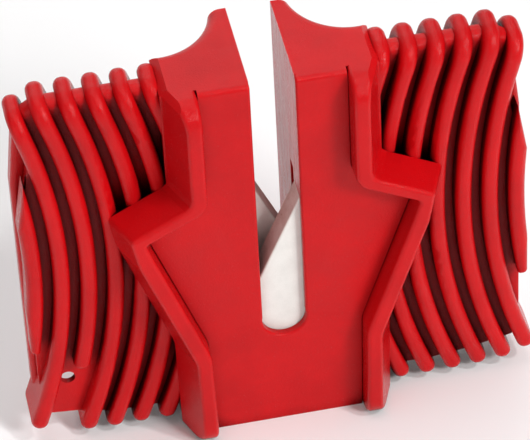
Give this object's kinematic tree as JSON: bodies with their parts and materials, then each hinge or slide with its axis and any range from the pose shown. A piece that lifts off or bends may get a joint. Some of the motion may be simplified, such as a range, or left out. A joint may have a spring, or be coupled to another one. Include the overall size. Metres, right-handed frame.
{
  "type": "edge tuning tool",
  "caption": "Hand-held edge tuning tool: ribbed red plastic body with an open slot and two crossed white ceramic plates that form a V.",
  "frame": {"origin": "centre of the overall bounding box in X and Y, on the base plane under the closed end", "axes": "+Z towards the open mouth of the slot, -Y is the front with the arrow-shaped rim, X runs across the two ribbed grips"},
  "size_m": [0.0616, 0.0176, 0.0523],
  "materials": {
    "red_plastic": "glossy with a fine spark texture",
    "white_ceramic": "matt, fine grained"
  },
  "bodies": {
    "root": {"front_shell": "red_plastic", "rear_shell": "red_plastic", "face_cover": "red_plastic", "ceramic_front": "white_ceramic", "ceramic_rear": "white_ceramic"}
  },
  "joints": []
}
